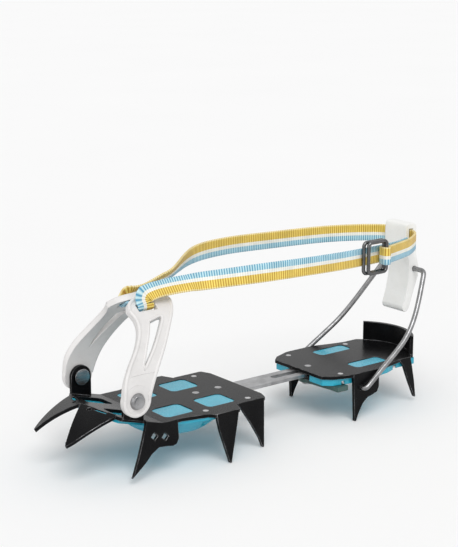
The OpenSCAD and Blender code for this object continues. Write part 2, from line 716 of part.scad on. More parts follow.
// The side run: from the toe arm over the instep to the buckle
front_run = [round_toe(bar_out + 1.5, 3.2), round_toe(bar_out + 2.9, 4.5, 1.3),
  round_toe(bar_out + 3.9, 5.6, 6.3), round_toe(bar_out + 5.1, 4.75, 15.3), [66, 14.5, 121.5],
  [46, 25, 124.5], [21, 37, 127.5], [-14, 44.2, 128.3]];
front_across = [[1, 0, 0], [0.9, -0.25, 0.35], [0.6, -0.4, 0.7], [0.2, -0.5, 0.85], [0, -0.45, 0.9],
  [0, -0.3, 0.95], [0, -0.12, 1], [0, 0, 1]];
front_width = [bunch, bunch, bunch + 0.05, bunch + 0.15, 1, 1, 1, 1] * strap_w;
left_end = [[-50, 43.3, 127.2], [-74, 40.6, 126.4], [-89, 38.9, buckle_z], [-102, 37.6, 125.9]];
module strap_left() {
  run = curve(concat(front_run, left_end), 5);
  sides = curve(concat(front_across, [for (q = left_end) [0, 0, 1]]), 5);
  widths = curve(concat(front_width, [for (q = left_end) strap_w]), 5);
  color(web_yellow) band(run, sides, widths, strap_t);
}

lever_out = lever_w / 2 + 0.5;
heel_end = [[-132, 32.5, strap_z], [-148, 22, strap_z], [pass_x + 0.6, lever_out + 3, strap_z],
  [pass_x, lever_out + 2 * web_gap, strap_z]];
right_end = concat([[-60, -44.5, 127], [-105, -40.5, 126]], flip_y(heel_end));
module strap_right() {
  run = curve(concat(flip_y(front_run), right_end), 5);
  sides = curve(concat(flip_y(front_across), [for (q = right_end) [0, 0, 1]]), 5);
  widths = curve(concat(front_width, [for (q = right_end) strap_w]), 5);
  color(web_yellow) band(run, sides, widths, strap_t);
}

module strap_lever() {
  color(web_yellow) translate([pass_x, 0, strap_z]) cube([strap_t, 2 * lever_out, strap_w], center = true);
}

heel_run = concat([[ring_back - 3.1, 44.8, buckle_z], [-107, 42.2, buckle_z], [-119, 38.1, 125.8]], heel_end);
loop_in = ring_r + slide_gap;
loop_out = loop_in + strap_t;
module strap_heel() {
  run = curve(heel_run, 5);
  color(web_yellow) {
    band(run, [for (q = run) [0, 0, 1]], [for (q = run) strap_w], strap_t);
    translate([ring_back, ring_y, buckle_z - strap_w / 2]) linear_extrude(strap_w) difference() {
      union() {
        circle(loop_out);
        translate([0, ring_step]) circle(loop_out);
        translate([-loop_out, 0]) square([2 * loop_out, ring_step]);
      }
      circle(loop_in);
      translate([0, ring_step]) circle(loop_in);
      translate([-loop_in, 0]) square([2 * loop_in, ring_step]);
    }
  }
}

tail_run = [[-102.1, 37.6, 125.9], [-110, 36.9, 125.8], [-119, 34.7, 125.7], [-131, 30.2, 125.6]];
module strap_tail() {
  run = curve(tail_run, 5);
  color(web_yellow) band(run, [for (q = run) [0, 0, 1]], [for (q = run) strap_w], strap_t);
}

// A rectangular wire ring across the strap
module ring(y, front) {
  mid = (ring_back + front) / 2;
  z0 = buckle_z - ring_h / 2;
  z1 = buckle_z + ring_h / 2;
  wire([[mid, y, z0], [front, y, z0], [front, y, z1], [ring_back, y, z1], [ring_back, y, z0], [mid, y, z0]],
    [for (i = [1 : 4]) ring_bend], ring_r);
}

module buckle_ring() {
  color(steel_bright) ring(ring_y, ring_front);
}

module buckle_lock_ring() {
  color(steel_bright) ring(lock_y, lock_front);
}

front_frame();
front_antiball_plate();
front_plate_studs();
linking_bar();
bar_rivets();
heel_frame();
heel_antiball_plate();
heel_plate_studs();
bar_guide_front();
bar_guide_rear();
clamp_bolt();
clamp_lever();
toe_arm_left();
toe_arm_right();
toe_rivet_left();
toe_rivet_right();
toe_washer_left();
toe_washer_right();
heel_bail();
heel_lever();
strap_toe();
strap_left();
strap_right();
strap_lever();
strap_heel();
strap_tail();
buckle_ring();
buckle_lock_ring();
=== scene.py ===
"""Looks of the crampon: materials for the carried CAD nodes, and pieces for what is soft or moulded."""
import math

import bmesh
import bpy
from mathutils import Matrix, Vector


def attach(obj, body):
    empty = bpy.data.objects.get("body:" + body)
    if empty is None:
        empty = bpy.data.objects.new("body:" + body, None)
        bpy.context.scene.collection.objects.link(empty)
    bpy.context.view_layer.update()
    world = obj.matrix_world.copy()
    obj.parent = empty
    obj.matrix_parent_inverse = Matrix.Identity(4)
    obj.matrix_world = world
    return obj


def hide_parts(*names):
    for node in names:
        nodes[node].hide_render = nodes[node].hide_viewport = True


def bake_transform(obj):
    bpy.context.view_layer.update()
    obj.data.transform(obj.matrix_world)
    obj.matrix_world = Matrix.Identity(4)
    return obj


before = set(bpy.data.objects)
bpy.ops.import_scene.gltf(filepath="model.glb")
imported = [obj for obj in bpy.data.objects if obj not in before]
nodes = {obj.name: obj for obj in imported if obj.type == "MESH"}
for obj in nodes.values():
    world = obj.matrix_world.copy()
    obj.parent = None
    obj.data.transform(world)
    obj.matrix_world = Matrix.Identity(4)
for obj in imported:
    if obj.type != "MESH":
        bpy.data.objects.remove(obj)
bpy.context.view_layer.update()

scene = bpy.context.scene

# Sizes of the part, in millimetres, as in its source
MM = 0.001
RIVET_X, RIVET_Z = 122.0, 56.0
ARM_OUT_Y, ARM_T, ARM_EYE_R = 38.5, 4.0, 11.0
ARM_R, ARM_AXIS_Z = 64.0, 60.0          # curve of the arms' upper part
ARM_AXIS_Y = ARM_OUT_Y - ARM_R
SLOT_X, BAR_ANGLE = RIVET_X - 25.7, 54.6  # bar in the arm's head that the strap goes round
STRAP_W, STRAP_T, STRAP_Z = 13.5, 1.8, 125.5
HALF_W = STRAP_W / 2
RIB = 1.75                              # pitch of the webbing's ribs
BUCKLE_Z = 126.0
RING_X, RING_Y, RING_R, RING_STEP = -94.5, 43.3, 1.4, 3.0  # rear bars of the two buckle rings
LEVER_HALF, PASS_X = 12.0, -154.5       # the strap's way through the heel lever
WIRE_R, WIRE_BEND = 1.98, 4.0           # heel bail
UP = (0, 0, 1)


# Curves and meshes
def knot(a, b, c, d, t):
    """A point between b and c of the smooth curve through a, b, c and d."""
    return 0.5 * (2 * b + (c - a) * t
                  + (2 * a - 5 * b + 4 * c - d) * t * t
                  + (3 * b - a - 3 * c + d) * t ** 3)


def curve(points, n):
    """The same smooth curve through points as in the part's source, n steps from each to the next."""
    p = [Vector(q) for q in points]
    last = len(p) - 1
    out = []
    for i in range(last):
        for k in range(n):
            out.append(knot(p[max(i - 1, 0)], p[i], p[i + 1], p[min(i + 2, last)], k / n))
    return out + [p[last].copy()]


def flip(points):
    """The mirror image of points on the other side of the part."""
    return [(p[0], -p[1], p[2]) for p in points]


def linked(name, data):
    """A new object in the scene."""
    ob = bpy.data.objects.new(name, data)
    scene.collection.objects.link(ob)
    return ob


def mesh_object(name, verts, faces, uvs=None):
    """A smooth mesh from points in millimetres."""
    me = bpy.data.meshes.new(name)
    me.from_pydata([tuple(Vector(v) * MM) for v in verts], [], faces)
    if uvs:
        layer = me.uv_layers.new(name="UVMap")
        for loop in me.loops:
            layer.data[loop.index].uv = uvs[loop.vertex_index]
    for poly in me.polygons:
        poly.use_smooth = True
    me.update()
    return linked(name, me)


def rings_to_faces(n, m, closed=False):
    """Faces of n rings of m points, with caps where the run is open."""
    faces = []
    for i in range(n if closed else n - 1):
        for j in range(m):
            a, b = i * m + j, i * m + (j + 1) % m
            c, d = ((i + 1) % n) * m + (j + 1) % m, ((i + 1) % n) * m + j
            faces.append((a, b, c, d))
    if not closed:
        faces.append(tuple(range(m - 1, -1, -1)))
        faces.append(tuple(range((n - 1) * m, n * m)))
    return faces


def neighbours(path, i, closed):
    """The points before and after point i; an open path stops at its ends."""
    n = len(path)
    before = path[(i - 1) % n] if closed or i > 0 else path[i]
    after = path[(i + 1) % n] if closed or i < n - 1 else path[i]
    return before, after


def tube(name, path, radius, sides=14, closed=False):
    """A round bead along a path; its frame turns as little as it can."""
    verts, up = [], None
    for i, p in enumerate(path):
        before, after = neighbours(path, i, closed)
        run = (after - before).normalized()
        if up is None:
            up = run.orthogonal().normalized()
        up = (up - run * up.dot(run)).normalized()
        side = run.cross(up)
        for k in range(sides):
            w = 2 * math.pi * k / sides
            verts.append(p + (up * math.cos(w) + side * math.sin(w)) * radius)
    return mesh_object(name, verts, rings_to_faces(len(path), sides, closed))


# Node helpers: t is a node tree
def material(name):
    """A new material with its tree and its shader."""
    m = bpy.data.materials.new(name)
    m.use_nodes = True
    t = m.node_tree
    t.nodes.clear()
    out = t.nodes.new("ShaderNodeOutputMaterial")
    shader = t.nodes.new("ShaderNodeBsdfPrincipled")
    t.links.new(shader.outputs[0], out.inputs[0])
    return m, t, shader


def put(t, value, socket):
    """Links an output, or sets a constant on the socket."""
    if isinstance(value, bpy.types.NodeSocket):
        t.links.new(value, socket)
    else:
        socket.default_value = value


def calc(t, op, a, b=0.0, clamp=False):
    n = t.nodes.new("ShaderNodeMath")
    n.operation = op
    n.use_clamp = clamp
    put(t, a, n.inputs[0])
    put(t, b, n.inputs[1])
    return n.outputs[0]


def noise(t, scale, detail, stretch=(1, 1, 1)):
    """Noise in the part's own coordinates."""
    coords = t.nodes.new("ShaderNodeTexCoord")
    mapping = t.nodes.new("ShaderNodeMapping")
    mapping.inputs["Scale"].default_value = stretch
    t.links.new(coords.outputs["Object"], mapping.inputs["Vector"])
    n = t.nodes.new("ShaderNodeTexNoise")
    n.inputs["Scale"].default_value = scale
    n.inputs["Detail"].default_value = detail
    n.inputs["Roughness"].default_value = 0.55
    t.links.new(mapping.outputs["Vector"], n.inputs["Vector"])
    return n.outputs[0]


def spread(t, value, lo, hi, to_lo, to_hi):
    """Maps lo to hi onto to_lo to to_hi, held at both ends."""
    n = t.nodes.new("ShaderNodeMapRange")
    put(t, value, n.inputs["Value"])
    for key, v in zip(("From Min", "From Max", "To Min", "To Max"), (lo, hi, to_lo, to_hi)):
        n.inputs[key].default_value = v
    return n.outputs[0]


def blend_colour(t, fac, a, b):
    """Colour a where fac is 0 and b where it is 1."""
    n = t.nodes.new("ShaderNodeMix")
    n.data_type = "RGBA"
    put(t, fac, n.inputs[0])
    put(t, (*a, 1) if isinstance(a, tuple) else a, n.inputs[6])
    put(t, (*b, 1) if isinstance(b, tuple) else b, n.inputs[7])
    return n.outputs[2]


def bump(t, height, strength, distance, normal=None):
    n = t.nodes.new("ShaderNodeBump")
    n.inputs["Strength"].default_value = strength
    n.inputs["Distance"].default_value = distance
    t.links.new(height, n.inputs["Height"])
    if normal is not None:
        t.links.new(normal, n.inputs["Normal"])
    return n.outputs[0]


def soft_normal(t, radius):
    """A normal that rounds edges off."""
    bevel = t.nodes.new("ShaderNodeBevel")
    bevel.samples = 6
    bevel.inputs["Radius"].default_value = radius
    return bevel.outputs[0]


def edge_mask(t, rounded):
    """1 along edges, where the rounded normal leaves the true one."""
    geo = t.nodes.new("ShaderNodeNewGeometry")
    dot = t.nodes.new("ShaderNodeVectorMath")
    dot.operation = "DOT_PRODUCT"
    t.links.new(rounded, dot.inputs[0])
    t.links.new(geo.outputs["Normal"], dot.inputs[1])
    return spread(t, dot.outputs["Value"], 0.985, 0.80, 0.0, 1.0)


# Materials
FINE_BUMP = 0.0002
WEAVE_BUMP = 0.0003
PAINT_DEEP, PAINT, EDGE_WEAR_AND_HIGHLIGHT = (0.0025, 0.0025, 0.003), (0.0065, 0.0065, 0.007), (0.38, 0.38, 0.39)


def painted_steel(name):
    """Black paint with bare metal in places along its edges, from wear; these light edges are also a
    painted highlight.
    """
    m, t, shader = material(name)
    rounded = soft_normal(t, 0.0007)
    cloud = spread(t, noise(t, 60, 4), 0.35, 0.7, 0, 1)
    grit = noise(t, 1600, 3)
    places = spread(t, noise(t, 140, 4), 0.40, 0.66, 0.15, 0.85)
    # Painted highlight: the light metal colour along the edges is partly wear and partly stands in for
    # the highlights that the edges catch.
    wear_and_highlight = calc(t, "MULTIPLY", edge_mask(t, rounded), places, clamp=True)
    paint = blend_colour(t, cloud, PAINT_DEEP, PAINT)
    put(t, blend_colour(t, wear_and_highlight, paint, EDGE_WEAR_AND_HIGHLIGHT), shader.inputs["Base Color"])
    put(t, wear_and_highlight, shader.inputs["Metallic"])
    put(t, spread(t, grit, 0.3, 0.7, 0.22, 0.34), shader.inputs["Roughness"])
    shader.inputs["Specular IOR Level"].default_value = 0.09
    put(t, bump(t, grit, 0.06, FINE_BUMP, rounded), shader.inputs["Normal"])
    return m


def bare_steel(name, tone, low, high):
    """Drawn steel: tone is its grey, low and high the limits of its roughness; a tone set low also
    paints in dark reflections and shade.
    """
    m, t, shader = material(name)
    rounded = soft_normal(t, 0.0004)
    cloud = spread(t, noise(t, 160, 4), 0.3, 0.7, 0, 1)
    lines = noise(t, 700, 4, stretch=(0.15, 1, 1))
    dark = (tone * 0.62, tone * 0.62, tone * 0.63)
    light = (tone, tone, tone * 1.02)
    put(t, blend_colour(t, cloud, dark, light), shader.inputs["Base Color"])
    shader.inputs["Metallic"].default_value = 1.0
    put(t, spread(t, lines, 0.3, 0.7, low, high), shader.inputs["Roughness"])
    put(t, bump(t, lines, 0.12, FINE_BUMP, rounded), shader.inputs["Normal"])
    return m


def plastic(name, base, deep, rough, grain, coat=0.0, dirt=0.15, radius=0.0006):
    """Moulded plastic in two close tones, with fine grain and a little dirt."""
    m, t, shader = material(name)
    rounded = soft_normal(t, radius)
    cloud = spread(t, noise(t, 70, 4), 0.35, 0.7, 0, 1)
    fine = noise(t, 2200, 3)
    colour = blend_colour(t, cloud, base, deep)
    spots = spread(t, noise(t, 240, 5), 0.55, 0.75, 0, 1)
    grime = calc(t, "MULTIPLY", spots, dirt, clamp=True)
    dirty = tuple(c * 0.45 for c in deep)
    put(t, blend_colour(t, grime, colour, dirty), shader.inputs["Base Color"])
    put(t, spread(t, fine, 0.3, 0.7, rough - 0.06, rough + 0.08), shader.inputs["Roughness"])
    shader.inputs["Coat Weight"].default_value = coat
    shader.inputs["Coat Roughness"].default_value = 0.1
    put(t, bump(t, fine, grain, FINE_BUMP, rounded), shader.inputs["Normal"])
    return m


def webbing_material(name, stripes):
    """Ribbed webbing; stripes, from the lower edge up, are (upper limit, dark and light rib colour)."""
    yarns_across = 30
    m, t, shader = material(name)
    uv = t.nodes.new("ShaderNodeUVMap")
    uv.uv_map = "UVMap"
    parts = t.nodes.new("ShaderNodeSeparateXYZ")
    t.links.new(uv.outputs[0], parts.inputs[0])
    along, across = parts.outputs[0], parts.outputs[1]
    rib_wave = calc(t, "SINE", calc(t, "MULTIPLY", along, 2 * math.pi / RIB))
    rib = calc(t, "POWER", spread(t, rib_wave, -1, 1, 0, 1), 0.7)
    yarn_wave = calc(t, "SINE", calc(t, "MULTIPLY", across, 2 * math.pi * yarns_across))
    yarn = spread(t, yarn_wave, -1, 1, 0, 1)
    fuzz = noise(t, 1500, 4)
    stray = calc(t, "MULTIPLY", calc(t, "SUBTRACT", fuzz, 0.5), 0.03)
    ragged = calc(t, "ADD", across, stray)
    colour, start = None, None
    for limit, dark, light in stripes:
        own = blend_colour(t, rib, dark, light)
        if colour is None:
            colour = own
        else:
            colour = blend_colour(t, calc(t, "GREATER_THAN", ragged, start), colour, own)
        start = limit
    shade = t.nodes.new("ShaderNodeHueSaturation")
    put(t, spread(t, noise(t, 90, 4), 0.35, 0.75, 0.86, 1.06), shade.inputs["Value"])
    t.links.new(colour, shade.inputs["Color"])
    put(t, shade.outputs[0], shader.inputs["Base Color"])
    put(t, spread(t, fuzz, 0.3, 0.7, 0.62, 0.85), shader.inputs["Roughness"])
    shader.inputs["Sheen Weight"].default_value = 0.25
    shader.inputs["Sheen Roughness"].default_value = 0.5
    height = calc(t, "ADD", calc(t, "MULTIPLY", rib, 0.6), calc(t, "MULTIPLY", yarn, 0.25))
    height = calc(t, "ADD", height, calc(t, "MULTIPLY", fuzz, 0.25))
    put(t, bump(t, height, 0.45, WEAVE_BUMP), shader.inputs["Normal"])
    return m


black = painted_steel("black_steel")
stud_steel = bare_steel("bare_steel", tone=0.60, low=0.18, high=0.36)
# Painted reflection and shade: the rivets, the bail wire and the buckle rings are toned darker than
# bare steel. This stands in for the dark surroundings that polished metal reflects, and for the shade
# on the wire's upper part.
rivet_steel = bare_steel("rivet_steel", tone=0.36, low=0.10, high=0.20)
wire_steel = bare_steel("wire_steel", tone=0.31, low=0.20, high=0.36)
ring_steel = bare_steel("ring_steel", tone=0.16, low=0.18, high=0.30)
bar_steel = bare_steel("bar_steel", tone=0.42, low=0.30, high=0.46)
blue = plastic("snow_plate_blue", (0.018, 0.41, 0.56), (0.012, 0.33, 0.47),
               rough=0.28, grain=0.03, coat=0.08, dirt=0.06)
arm_white = plastic("arm_white", (0.76, 0.745, 0.735), (0.70, 0.685, 0.675),
                    rough=0.42, grain=0.10, dirt=0.10, radius=0.0009)
# Partly painted light: the lever's white plastic is set lighter than the arms' white, to make up for
# the half shade the lever stands in.
lever_white = plastic("lever_white", (0.90, 0.90, 0.885), (0.85, 0.85, 0.83),
                      rough=0.40, grain=0.08, dirt=0.08, radius=0.0009)
teal = plastic("clamp_teal", (0.048, 0.10, 0.09), (0.032, 0.075, 0.07), rough=0.45, grain=0.10)
nylon = plastic("washer_nylon", (0.03, 0.03, 0.03), (0.02, 0.02, 0.02), rough=0.5, grain=0.1)

BLUE_RIB = ((0.03, 0.27, 0.47), (0.60, 0.84, 0.87))
WHITE_RIB = ((0.80, 0.79, 0.68), (0.94, 0.94, 0.90))
YELLOW_RIB = ((0.47, 0.22, 0.004), (0.95, 0.77, 0.17))
EDGE_RIB = ((0.70, 0.50, 0.14), (0.92, 0.82, 0.46))
web_near = webbing_material("webbing_blue_top", [
    (0.07, *EDGE_RIB), (0.48, *YELLOW_RIB), (0.67, *WHITE_RIB), (1.0, *BLUE_RIB)])
web_far = webbing_material("webbing_yellow_top", [
    (0.33, *BLUE_RIB), (0.52, *WHITE_RIB), (0.93, *YELLOW_RIB), (1.0, *EDGE_RIB)])
thread = plastic("sewing_thread", (0.72, 0.70, 0.62), (0.6, 0.58, 0.5), rough=0.7, grain=0.3)

for names, mat in (
    (("front_frame", "heel_frame", "bar_guide_front", "bar_guide_rear"), black),
    (("front_antiball_plate", "heel_antiball_plate"), blue),
    (("linking_bar", "bar_rivets", "clamp_bolt"), bar_steel),
    (("front_plate_studs", "heel_plate_studs"), stud_steel),
    (("toe_rivet_left", "toe_rivet_right"), rivet_steel),
    (("buckle_ring", "buckle_lock_ring"), ring_steel),
    (("heel_bail",), wire_steel),
    (("toe_arm_left", "toe_arm_right"), arm_white),
    (("heel_lever",), lever_white),
    (("clamp_lever",), teal),
    (("toe_washer_left", "toe_washer_right"), nylon),
    (("strap_toe", "strap_left", "strap_right"), web_near),
    (("strap_lever", "strap_heel", "strap_tail"), web_near),
):
    for name in names:
        slots = nodes[name].data.materials
        slots.clear()
        slots.append(mat)


def finish_piece(ob, mat, body=None):
    """Gives a piece its material and slot, and its body unless it is set elsewhere."""
    ob.data.materials.append(mat)
    if body:
        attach(ob, body)
    return ob


# Camera at the photo's angle, fitted to the places of the points and rivets in the photo
FOCAL_LENGTH, SENSOR_HEIGHT = 93.46, 36.0
AZIMUTH, ELEVATION = math.radians(142.14), math.radians(13.44)
DISTANCE, AIM = 1.01285, Vector((0.01584, 0.0, 0.11994))

camera = bpy.data.cameras.new("camera")
camera.sensor_fit = "VERTICAL"
camera.sensor_height = SENSOR_HEIGHT
camera.lens = FOCAL_LENGTH
camera_ob = linked("camera", camera)
toward_camera = Vector((math.sin(AZIMUTH) * math.cos(ELEVATION),
                        -math.cos(AZIMUTH) * math.cos(ELEVATION),
                        math.sin(ELEVATION)))
camera_ob.location = AIM + toward_camera * DISTANCE
camera_ob.rotation_euler = (-toward_camera).to_track_quat("-Z", "Y").to_euler()
scene.camera = camera_ob

# Webbing
STATION = RIB / 4               # from one station of a strap to the next
STRAP_STEPS, LOOP_STEPS = 24, 6  # steps of a strap's curve from point to point
LANES, SELVEDGE_STEPS = 9, 4    # points across a face, steps round a selvedge
THICK_MEAN, THICK_SWING = 0.93, 0.07    # shares of the thickness: its mean, its swing along the ribs
SELVEDGE_IN, SELVEDGE_SWING = 0.05, 0.07  # millimetres that the edges lie in, and swing with the ribs
CUT_OVERLAP = 0.2               # millimetres that the stretches of a cut strap share


def even(rows, step):
    """Rows of (place, across, width) spaced evenly along the path, with the distance added."""
    s = [0.0]
    for a, b in zip(rows, rows[1:]):
        s.append(s[-1] + (b[0] - a[0]).length)
    n = max(4, round(s[-1] / step))
    out, i = [], 0
    for k in range(n + 1):
        at = s[-1] * k / n
        while i < len(s) - 2 and s[i + 1] < at:
            i += 1
        f = (at - s[i]) / max(s[i + 1] - s[i], 1e-9)
        a, b = rows[i], rows[i + 1]
        out.append((a[0].lerp(b[0], f), a[1].lerp(b[1], f), a[2] + (b[2] - a[2]) * f, at))
    return out


def framed(line):
    """Even stations of a strap: place, run, side, face, width and distance."""
    rows = even(line, STATION)
    out = []
    for i, (p, across, width, s) in enumerate(rows):
        run = (rows[min(i + 1, len(rows) - 1)][0] - rows[max(i - 1, 0)][0]).normalized()
        side = (across - run * across.dot(run)).normalized()
        out.append((p, run, side, side.cross(run), width, s))
    return out


def stations(points, across, n=STRAP_STEPS):
    """Stations of a strap along its middle line, with one direction across it."""
    return framed([(p, Vector(across), STRAP_W) for p in curve(points, n)])


def stations_between(top, bottom):
    """Stations of a strap that lies between its two edges."""
    pairs = zip(curve(top, STRAP_STEPS), curve(bottom, STRAP_STEPS))
    return framed([((p + q) / 2, p - q, (p - q).length) for p, q in pairs])


def strap_edges(middle, across):
    """The two edges of a strap, from its middle line and the directions across it."""
    return [[tuple(Vector(p) + Vector(a).normalized() * by) for p, a in zip(middle, across)]
            for by in (HALF_W, -HALF_W)]


def strap_piece(name, rows, mat):
    """Ribbed webbing with round selvedges along the stations."""
    verts, uvs = [], []
    for p, _, side, face, width, s in rows:
        rib = math.cos(2 * math.pi * s / RIB)
        r = STRAP_T / 2 * (THICK_MEAN + THICK_SWING * rib)
        flat = width / 2 - SELVEDGE_IN + SELVEDGE_SWING * rib - r
        half_ring = [(-flat + 2 * flat * k / (LANES - 1), r) for k in range(LANES)]
        for k in range(1, SELVEDGE_STEPS):
            g = math.pi / 2 - math.pi * k / SELVEDGE_STEPS
            half_ring.append((flat + r * math.cos(g), r * math.sin(g)))
        for a, b in half_ring + [(-a, -b) for a, b in half_ring]:
            verts.append(p + side * a + face * b)
            uvs.append((s, a / width + 0.5))
    ring = 2 * (LANES + SELVEDGE_STEPS - 1)
    return finish_piece(mesh_object(name, verts, rings_to_faces(len(rows), ring), uvs), mat)


def cut(rows, x0, x1):
    """The stations from x0 back to x1, with a little over at both ends."""
    return [r for r in rows if x1 - CUT_OVERLAP <= r[0].x <= x0 + CUT_OVERLAP]


def strap_stretches(rows, node, stretches):
    """A strap cut into stretches, the first of which stands for the CAD node.

    Each one is cut at x0 and x1 in millimetres; its bodies a and b and its start and end in metres
    are not used.
    """
    for name, x0, x1, a, b, start, end in stretches:
        piece = strap_piece(name + "_webbing", cut(rows, x0, x1), web_far)
        if name == stretches[0][0]:
            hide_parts(node)
        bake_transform(piece)


def round_toe(x, r, degrees):
    """A point round the axis of the toe arms' curve."""
    w = math.radians(degrees)
    return (x, ARM_AXIS_Y + r * math.cos(w), ARM_AXIS_Z + r * math.sin(w))


BAR_OUT = ARM_R + STRAP_T / 2 + 0.3
BAR_MID = ARM_R - ARM_T / 2
BAR_IN = ARM_R - ARM_T - STRAP_T / 2 - 0.3
FRONT, BACK = SLOT_X + HALF_W, SLOT_X - HALF_W


def over_bar(*points):
    """Points over the bar in the arm's head, from X, lift and angle."""
    return [round_toe(x, BAR_OUT + lift, degrees) for x, lift, degrees in points]


# Edges of the strap where it leaves the near and the far arm, then middle lines
near_top = over_bar((FRONT, -0.2, BAR_ANGLE), (103.6, 1.4, 57.3), (102.0, 4, 59.8)) + [
    (96, 7.5, 122.8), (88.5, 7, 124.6), (77.5, 8, 126.2), (66.5, 10, 127.4), (53.5, 14, 128.8)]
near_bottom = over_bar((BACK, -0.2, BAR_ANGLE), (89.8, 1.6, 56.4), (88.8, 3.4, 57.0)) + [
    (86, 13.2, 117.6), (81, 15, 118), (72, 17.4, 118.4), (63.5, 19.4, 118.4), (52, 22.4, 118.3)]
far_top = over_bar((FRONT, -0.2, BAR_ANGLE), (102.3, 0.8, 56.4), (99, 2, 57.8),
                   (92.5, 3, 58.9), (85, 4, 59.6)) + [
    (76.5, 10, 121.9), (66.5, 11.5, 124.6), (53.5, 15.3, 127.3)]
far_bottom = over_bar((BACK, -0.2, BAR_ANGLE), (89.3, 0.4, 54.4), (87.6, 1.4, 53.4),
                      (84.2, 2.6, 51.8), (79, 4.2, 50.6)) + [
    (71.5, 19.6, 114.6), (63, 21, 115.9), (52, 23.6, 117.2)]
side_run = [(21, 37, 127.5), (-14, 44.2, 128.3)]
side_across = [(0, -0.12, 1), UP]
left_end = [(-50, 43.3, 127.2), (-74, 40.6, 126.4), (-89, 38.9, BUCKLE_Z), (-102, 37.6, 125.9)]
heel_end = [(-132, 32.5, STRAP_Z), (-148, 22, STRAP_Z),
            (PASS_X + 0.6, LEVER_HALF + 3, STRAP_Z), (PASS_X, LEVER_HALF + 0.6, STRAP_Z)]
right_end = [(-60, -44.5, 127), (-105, -40.5, 126)] + flip(heel_end)
heel_run = [(-97.6, 44.8, BUCKLE_Z), (-107, 42.2, BUCKLE_Z), (-119, 38.1, 125.8)] + heel_end
lever_run = [(PASS_X, y, STRAP_Z) for y in (-LEVER_HALF, -6, 0, 6, LEVER_HALF)]
tail_run = [(-102.1, 37.6, 125.9), (-110, 36.9, 125.8), (-119, 34.7, 125.7), (-131, 30.2, 125.6)]
toe_half = [round_toe(SLOT_X, r, degrees) for r, degrees in (
    (BAR_OUT - 0.2, BAR_ANGLE), (BAR_MID + 0.6, 53), (BAR_IN + 0.2, BAR_ANGLE),
    (BAR_IN, 58), (BAR_IN, 62))]

left_top, left_bottom = strap_edges(side_run + left_end, side_across + [UP] * len(left_end))
left_rows = stations_between(near_top + left_top, near_bottom + left_bottom)
left = strap_piece("strap_left_webbing", left_rows, web_near)
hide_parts("strap_left")
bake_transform(left)

right_top, right_bottom = strap_edges(
    flip(side_run) + right_end, flip(side_across) + [UP] * len(right_end))
right_rows = stations_between(flip(far_top) + right_top, flip(far_bottom) + right_bottom)
strap_stretches(right_rows, "strap_right", (
    ("strap_right_toe", 200, 19, "front_section", "right_arm", 0.020, 0.085),
    ("strap_right_side", 19, -35, "front_section", "heel_section", 0.018, -0.034),
    ("strap_right_rear", -35, -128, "heel_section", "bail", -0.036, -0.124),
    ("strap_right_end", -128, -200, "bail", "lever", -0.132, -0.152),
))

heel_rows = stations(heel_run, UP)
strap_stretches(heel_rows, "strap_heel", (
    ("strap_heel_side", -90, -106, "front_section", "heel_section", -0.099, -0.105),
    ("strap_heel_rear", -106, -140, "heel_section", "bail", -0.107, -0.139),
    ("strap_heel_end", -140, -200, "bail", "lever", -0.141, -0.152),
))

lever_web = strap_piece("strap_lever_webbing", stations(lever_run, UP), web_far)
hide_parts("strap_lever")
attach(lever_web, "lever")

tail_rows = stations(tail_run, UP)
tail = strap_piece("strap_tail_webbing", tail_rows, web_near)
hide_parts("strap_tail")
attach(tail, "front_section")

toe_rows = stations(toe_half + flip(toe_half)[::-1], (1, 0, 0))
toe_web = strap_piece("strap_toe_webbing", toe_rows, web_near)
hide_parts("strap_toe")
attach(toe_web, "left_arm")

# The sewn loop that holds the two buckle rings: the strap's end folded round both rear bars
LOOP_R = RING_R + 0.1 + STRAP_T / 2
HALF_TURN = 12
loop_path = []
for centre_y, begin in ((RING_Y, math.pi), (RING_Y + RING_STEP, 0.0)):
    for k in range(HALF_TURN + 1):
        w = begin + math.pi * k / HALF_TURN
        loop_path.append((RING_X + LOOP_R * math.cos(w), centre_y + LOOP_R * math.sin(w), BUCKLE_Z))
loop = strap_piece("strap_heel_loop_webbing", stations(loop_path, UP, LOOP_STEPS), web_far)
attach(loop, "front_section")

# Sewing
STITCH, STITCH_PITCH, STITCH_STEPS = 1.5, 2.0, 6
THREAD_R, THREAD_SINK, THREAD_RISE, THREAD_SIDES = 0.2, 0.15, 0.42, 6


def stitch_rows(name, rows, s0, s1, offsets):
    """Rows of sewing on the outer face: short threads that dip into the webbing at both ends."""
    last = len(rows) - 1
    total = rows[last][5]
    verts, faces = [], []
    for offset in offsets:
        s = s0
        while s < s1:
            base = len(verts)
            for k in range(STITCH_STEPS + 1):
                at = s + STITCH * k / STITCH_STEPS
                p, run, side, face, _, here = rows[min(last, max(0, round(at / total * last)))]
                lift = STRAP_T / 2 - THREAD_SINK + THREAD_RISE * math.sin(math.pi * k / STITCH_STEPS)
                middle = p + run * (at - here) + side * offset - face * lift
                for j in range(THREAD_SIDES):
                    w = 2 * math.pi * j / THREAD_SIDES
                    verts.append(middle + (side * math.cos(w) - face * math.sin(w)) * THREAD_R)
            stitch = rings_to_faces(STITCH_STEPS + 1, THREAD_SIDES)
            faces += [tuple(base + i for i in f) for f in stitch]
            s += STITCH_PITCH
    return finish_piece(mesh_object(name, verts, faces), thread)


bar_tack = (-5.1, -3.4, -1.7, 0.0, 1.7, 3.4, 5.1)
loop_sewing = stitch_rows("strap_heel_stitching", heel_rows, 0.1, 1.0, bar_tack)
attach(loop_sewing, "front_section")
tail_sewing = stitch_rows("strap_tail_stitching", tail_rows, 22.0, 27.5, (-5.0, 0.0, 5.0))
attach(tail_sewing, "front_section")

# Toe arms: raised rims on the outline, round the slit and round the eye, and a low ridge over the eye
RIM_R, RIM_IN, RIM_LIFT = 1.35, 1.25, -0.5
SLIT_RIM_R, SLIT_RIM_IN = 1.15, -1.1
EYE_RIM = ARM_EYE_R - 1.3
RIDGE_R, RIDGE_TOP, RIDGE_SAG, RIDGE_LIFT = 0.6, 26.2, 0.004, -0.25


